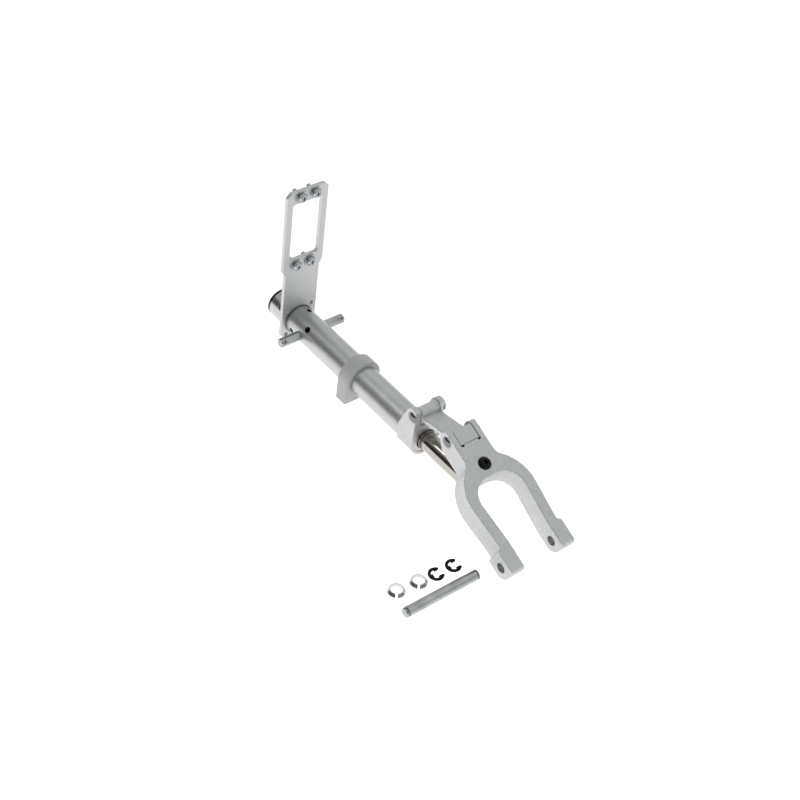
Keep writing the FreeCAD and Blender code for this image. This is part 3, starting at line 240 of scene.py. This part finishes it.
# %% Lights
LIGHTS = {
    # name: (aim along X in mm, direction from there, distance, length, width, watts)
    "strip": (100, (-0.54, -0.356, 0.763), 1.0, 1.1, 0.12, 0.25),
    "rod streak": (138, (-0.54, -0.356, 0.763), 0.3, 0.06, 0.04, 0.03),
    "edges": (130, (0.05, -0.81, 0.585), 1.0, 0.9, 0.2, 1.0),
    "overhead": (100, (0.25, 0.45, 0.85), 1.1, 0.8, 0.8, 0.2),
}


def soft_light(name, aim_mm, direction, distance, length, width, watts):
    """A rectangular light that faces the strut, with its long side as near along X as it goes."""
    data = bpy.data.lights.new(name, "AREA")
    data.shape = "RECTANGLE"
    data.size, data.size_y, data.energy = length, width, watts
    light = bpy.data.objects.new(name, data)
    bpy.context.scene.collection.objects.link(light)
    away = Vector(direction).normalized()
    along = (Vector((1, 0, 0)) - away.x * away).normalized()
    turn = Matrix((along, away.cross(along), away)).transposed()
    place = Vector((aim_mm * MM, 0, 0)) + distance * away
    light.matrix_world = Matrix.Translation(place) @ turn.to_4x4()
    print("light:", name, watts, "W")


for name, settings in LIGHTS.items():
    soft_light(name, *settings)

# %% [markdown]
# ## Shared surface effects
#
# Two effects return on many pieces, so each is a node group with named inputs and outputs.
# *Blast grain* is the fine, even speckle that glass beads leave on aluminium. *Tool lines* are
# the fine scratches of a lathe or of drawing: noise that is stretched along one direction, with
# a soft haze over it. Both give a tone to multiply the colour by, a roughness, and a height for
# a bump. Noise seldom comes near 0 or 1, so its middle half is spread over the whole range.

# %% Group helpers
FLOAT, VECTOR = "NodeSocketFloat", "NodeSocketVector"
NOISE_LOW, NOISE_HIGH = 0.25, 0.75
SURFACE_INPUTS = ["Dark Tone", "Light Tone", "Low Roughness", "High Roughness"]


def new_group(name, pattern_input, kind):
    """A node group with its sockets: one for the pattern, the tones and the roughnesses."""
    group = bpy.data.node_groups.new(name, "ShaderNodeTree")
    group.interface.new_socket(pattern_input, in_out="INPUT", socket_type=kind)
    for label in SURFACE_INPUTS:
        group.interface.new_socket(label, in_out="INPUT", socket_type=FLOAT)
    for label in ("Tone", "Roughness", "Height"):
        group.interface.new_socket(label, in_out="OUTPUT", socket_type=FLOAT)
    entry = add_node(group, "NodeGroupInput")
    where = add_node(group, "ShaderNodeTexCoord")
    return group, entry, where


def noise(group, vector, values):
    """A noise texture's value at the given place."""
    node = add_node(group, "ShaderNodeTexNoise", values)
    group.links.new(vector, node.inputs["Vector"])
    return node


def close_group(group, entry, pattern, soft_pattern, soft_share):
    """Turn a fine pattern, with a share of a soft one for the tone, into the group's outputs."""
    leave = add_node(group, "NodeGroupOutput")
    blend = add_node(group, "ShaderNodeMix", {"Factor": soft_share})
    group.links.new(pattern, blend.inputs["A"])
    group.links.new(soft_pattern, blend.inputs["B"])
    dark, light, low, high = [entry.outputs[label] for label in SURFACE_INPUTS]
    tone = map_range(group, blend.outputs["Result"], NOISE_LOW, NOISE_HIGH, dark, light)
    roughness = map_range(group, pattern, NOISE_LOW, NOISE_HIGH, low, high)
    for label, value in (("Tone", tone), ("Roughness", roughness), ("Height", pattern)):
        group.links.new(value, leave.inputs[label])
    print("group:", group.name)


# %% Blast grain
CLOUD_SCALE, CLOUD_SHARE = 140.0, 0.08

blast_grain, entry, where = new_group("blast_grain", "Grain Scale", FLOAT)
speckle = noise(blast_grain, where.outputs["Object"], {"Detail": 3.0, "Roughness": 0.65})
cloud = noise(blast_grain, where.outputs["Object"], {"Scale": CLOUD_SCALE})
blast_grain.links.new(entry.outputs["Grain Scale"], speckle.inputs["Scale"])
close_group(blast_grain, entry, speckle.outputs["Fac"], cloud.outputs["Fac"], CLOUD_SHARE)

# %% Tool lines
HAZE_SCALE, HAZE_SHARE = 110.0, 0.5

tool_lines, entry, where = new_group("tool_lines", "Line Scale", VECTOR)
stretch = add_node(tool_lines, "ShaderNodeMapping")
tool_lines.links.new(where.outputs["Object"], stretch.inputs["Vector"])
tool_lines.links.new(entry.outputs["Line Scale"], stretch.inputs["Scale"])
lines = noise(tool_lines, stretch.outputs["Vector"],
              {"Scale": 1.0, "Detail": 4.0, "Roughness": 0.6})
haze = noise(tool_lines, where.outputs["Object"], {"Scale": HAZE_SCALE, "Detail": 2.0})
close_group(tool_lines, entry, lines.outputs["Fac"], haze.outputs["Fac"], HAZE_SHARE)

# %% [markdown]
# ## The finishes
#
# Each finish is a Principled shader whose colour, roughness and bump come from one of the two
# groups. Metals differ in three things that the eye reads at once: their tint, how sharp their
# reflections are, and which way their marks run. The constants that are the same all over a
# piece, such as the metallic value, stand on the shader itself. There are three ways to ask for
# a finish: blasted, drawn along an axis, or turned round an axis.

# %% Finish builder
finishes = {}


def finish(name, tint, group, settings, bump_mm, metallic=1.0, specular=0.5):
    """A finish: the tint times the group's tone, its roughness, and its height as a bump."""
    material, tree, shader = new_material(name)
    effect = add_node(tree, "ShaderNodeGroup", settings, node_tree=group)
    colour = add_node(tree, "ShaderNodeMix", {"Factor": 1.0}, data_type="RGBA",
                      blend_type="MULTIPLY")
    colour.inputs[COLOUR_A].default_value = (*tint, 1.0)
    bump = add_node(tree, "ShaderNodeBump", {"Distance": bump_mm * MM})
    for source, target in (
            (effect.outputs["Tone"], colour.inputs[COLOUR_B]),
            (colour.outputs[COLOUR_OUT], shader.inputs["Base Color"]),
            (effect.outputs["Roughness"], shader.inputs["Roughness"]),
            (effect.outputs["Height"], bump.inputs["Height"]),
            (bump.outputs["Normal"], shader.inputs["Normal"])):
        tree.links.new(source, target)
    shader.inputs["Metallic"].default_value = metallic
    shader.inputs["Specular IOR Level"].default_value = specular
    finishes[name] = material
    print("finish:", name)


def surface(tones, roughnesses):
    """The group inputs for the two tones and the two roughnesses."""
    return dict(zip(SURFACE_INPUTS, (*tones, *roughnesses)))


def blasted(name, tint, scale, tones, roughnesses, bump_mm, **shading):
    """A finish with an even speckle: the larger the scale, the finer the grain."""
    settings = {"Grain Scale": scale, **surface(tones, roughnesses)}
    finish(name, tint, blast_grain, settings, bump_mm, **shading)


def lined(name, tint, axis, along, across, tones, roughnesses, bump_mm, **shading):
    """A finish whose noise has one scale along an axis and another across it."""
    scale = [across, across, across]
    scale["XYZ".index(axis)] = along
    settings = {"Line Scale": scale, **surface(tones, roughnesses)}
    finish(name, tint, tool_lines, settings, bump_mm, **shading)


def turned(name, tint, axis, tones, roughnesses, bump_mm, **shading):
    """A finish with the rings that a lathe leaves round an axis."""
    lined(name, tint, axis, 2600.0, 60.0, tones, roughnesses, bump_mm, **shading)


# %% [markdown]
# The leg tube is drawn and clear anodised, so its marks run lengthwise. The collar, the bracket,
# the link and the fork are milled, then blasted with glass beads, and look almost like grey
# paint. The plate is cut from sheet and has a finer grain, and the saddle collar is duller, as a
# casting is. The loose wheel collars stand upright, so their rings run round Z.

# %% Finishes of the alloy pieces
lined("satin_tube", (0.475, 0.48, 0.48), "X", 25.0, 4200.0, (0.90, 1.0), (0.36, 0.44), 0.002)
blasted("blasted_alloy", (0.63, 0.63, 0.64), 850.0, (0.64, 1.0), (0.46, 0.64), 0.10)
blasted("blasted_sheet", (0.57, 0.57, 0.58), 1600.0, (0.84, 1.0), (0.46, 0.60), 0.04)
blasted("blasted_casting", (0.45, 0.45, 0.455), 1100.0, (0.80, 1.0), (0.50, 0.62), 0.04,
        metallic=0.05)
turned("polished_alloy", (0.46, 0.46, 0.47), "X", (0.86, 1.0), (0.22, 0.34), 0.002)
turned("bright_alloy", (0.54, 0.54, 0.55), "Z", (0.86, 1.0), (0.18, 0.28), 0.002)
turned("gland_alloy", (0.50, 0.485, 0.46), "X", (0.88, 1.0), (0.3, 0.42), 0.003)

# %% [markdown]
# The rod is ground and plated and mirrors sharply, with a warm tint. The wheel axle and the
# trunnion pins are ground lengthwise, along Y, and the link's pins are turned. Small bought
# fasteners are zinc plated, which is a soft mirror with a faint mottle, or black oxide, which is
# almost black and reflects little.

# %% Finishes of the steel pieces
turned("chromed_rod", (0.39, 0.365, 0.34), "X", (0.9, 1.0), (0.06, 0.12), 0.001)
turned("polished_steel", (0.19, 0.19, 0.20), "Y", (0.85, 1.0), (0.16, 0.26), 0.002)
turned("turned_steel", (0.38, 0.385, 0.395), "Y", (0.82, 1.0), (0.24, 0.36), 0.006)
turned("dark_steel", (0.20, 0.20, 0.205), "X", (0.82, 1.0), (0.24, 0.36), 0.004)
lined("ground_steel", (0.47, 0.475, 0.485), "Y", 9.0, 750.0, (0.42, 1.0), (0.10, 0.34), 0.02)
blasted("plated_steel", (0.40, 0.405, 0.42), 3200.0, (0.9, 1.0), (0.16, 0.26), 0.006)
blasted("spring_steel", (0.45, 0.45, 0.46), 2000.0, (0.8, 1.0), (0.25, 0.4), 0.01)
blasted("black_steel", (0.004, 0.004, 0.0045), 2400.0, (0.7, 1.0), (0.28, 0.42), 0.01,
        metallic=0.0, specular=0.12)

# %% Finishes of the other pieces
turned("black_cap", (0.018, 0.018, 0.021), "X", (0.7, 1.0), (0.22, 0.34), 0.003, metallic=0.4)
blasted("bush_bronze", (0.58, 0.42, 0.22), 1500.0, (0.75, 1.0), (0.4, 0.55), 0.02)
blasted("wiper_rubber", (0.018, 0.018, 0.018), 1800.0, (0.8, 1.0), (0.5, 0.65), 0.02,
        metallic=0.0)

# %% [markdown]
# ## Dress the pieces
#
# The part's record names a material slot for every piece, and most finishes have the name of a
# slot. A few pieces differ a little from the others of their metal, and get a finish of their own.

# %% Give every piece its finish
OWN_FINISH = {
    "servo_plate": "blasted_sheet", "saddle_collar": "blasted_casting",
    "wheel_collars": "bright_alloy", "wheel_axle": "ground_steel",
    "trunnion_pins": "ground_steel", "plate_retaining_ring": "dark_steel",
}
slot_of = {row["node"]: row["material_slot"] for row in frame["record"]["subparts"]}
for name, piece in nodes.items():
    for slot in piece.material_slots:
        slot.material = finishes[OWN_FINISH.get(name, slot_of[name])]
print("dressed", len(nodes), "pieces in", len(finishes), "finishes")

# %% [markdown]
# ## The return spring
#
# The spring lies inside the leg, between the steering spindle and the piston's head, and pushes
# the rod out. A rigid coil would be cut by the head when the rod slides in, so this piece is made
# anew, as a wound coil of its own. A curve with a round bevel could make it too, but a squashed
# piece has to be a mesh. So it starts as a ring of wire beside the leg's centre line,
# and a Screw modifier winds that ring along the line.

# %% Measure the spring
WIRE_RADIUS = 0.65 * MM
COIL_PITCH = 5.2 * MM

corners = [Vector(corner) for corner in nodes["return_spring"].bound_box]
spring_back = min(corner.x for corner in corners)
spring_length = max(corner.x for corner in corners) - spring_back
coil_radius = max(corner.z for corner in corners) - WIRE_RADIUS
coil_turns = (spring_length - 2 * WIRE_RADIUS) / COIL_PITCH
print("spring:", round(coil_turns, 1), "turns,", round(spring_length / MM, 1), "mm long")

# %% Wind the coil
RING_SIDES = 12
STEPS_PER_TURN = 28

bpy.ops.object.select_all(action="DESELECT")
bpy.ops.mesh.primitive_circle_add(
    vertices=RING_SIDES, radius=WIRE_RADIUS, rotation=(math.pi / 2, 0, 0),
    location=(spring_back + WIRE_RADIUS, 0, coil_radius))
spring = bpy.context.object
spring.name = "pressed_spring"
bpy.ops.object.transform_apply(location=True, rotation=True, scale=True)
screw = spring.modifiers.new("coil", "SCREW")
screw.axis = "X"
screw.angle = 2 * math.pi * coil_turns
screw.screw_offset = COIL_PITCH * coil_turns
screw.iterations = 1
screw.steps = screw.render_steps = round(STEPS_PER_TURN * coil_turns)
bpy.ops.object.modifier_apply(modifier="coil")
print("coil:", len(spring.data.polygons), "faces")

# %% [markdown]
# The wound tube is open at both ends. The edges with only one face are selected, and each ring of
# them is filled. The piece is then hung on the steering body in place of the imported spring,
# which is hidden.

# %% Close the coil and hang it on the steering body
bpy.ops.object.mode_set(mode="EDIT")
bpy.ops.mesh.select_mode(type="EDGE")
bpy.ops.mesh.select_all(action="DESELECT")
bpy.ops.mesh.select_non_manifold()
bpy.ops.mesh.edge_face_add()
bpy.ops.mesh.select_all(action="SELECT")
bpy.ops.mesh.normals_make_consistent(inside=False)
bpy.ops.object.mode_set(mode="OBJECT")
bpy.ops.object.shade_smooth_by_angle(angle=math.radians(40))
spring.data.materials.append(finishes["spring_steel"])

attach(spring, "steering")
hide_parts("return_spring")
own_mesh(spring)
print("closed coil:", len(spring.data.polygons), "faces")
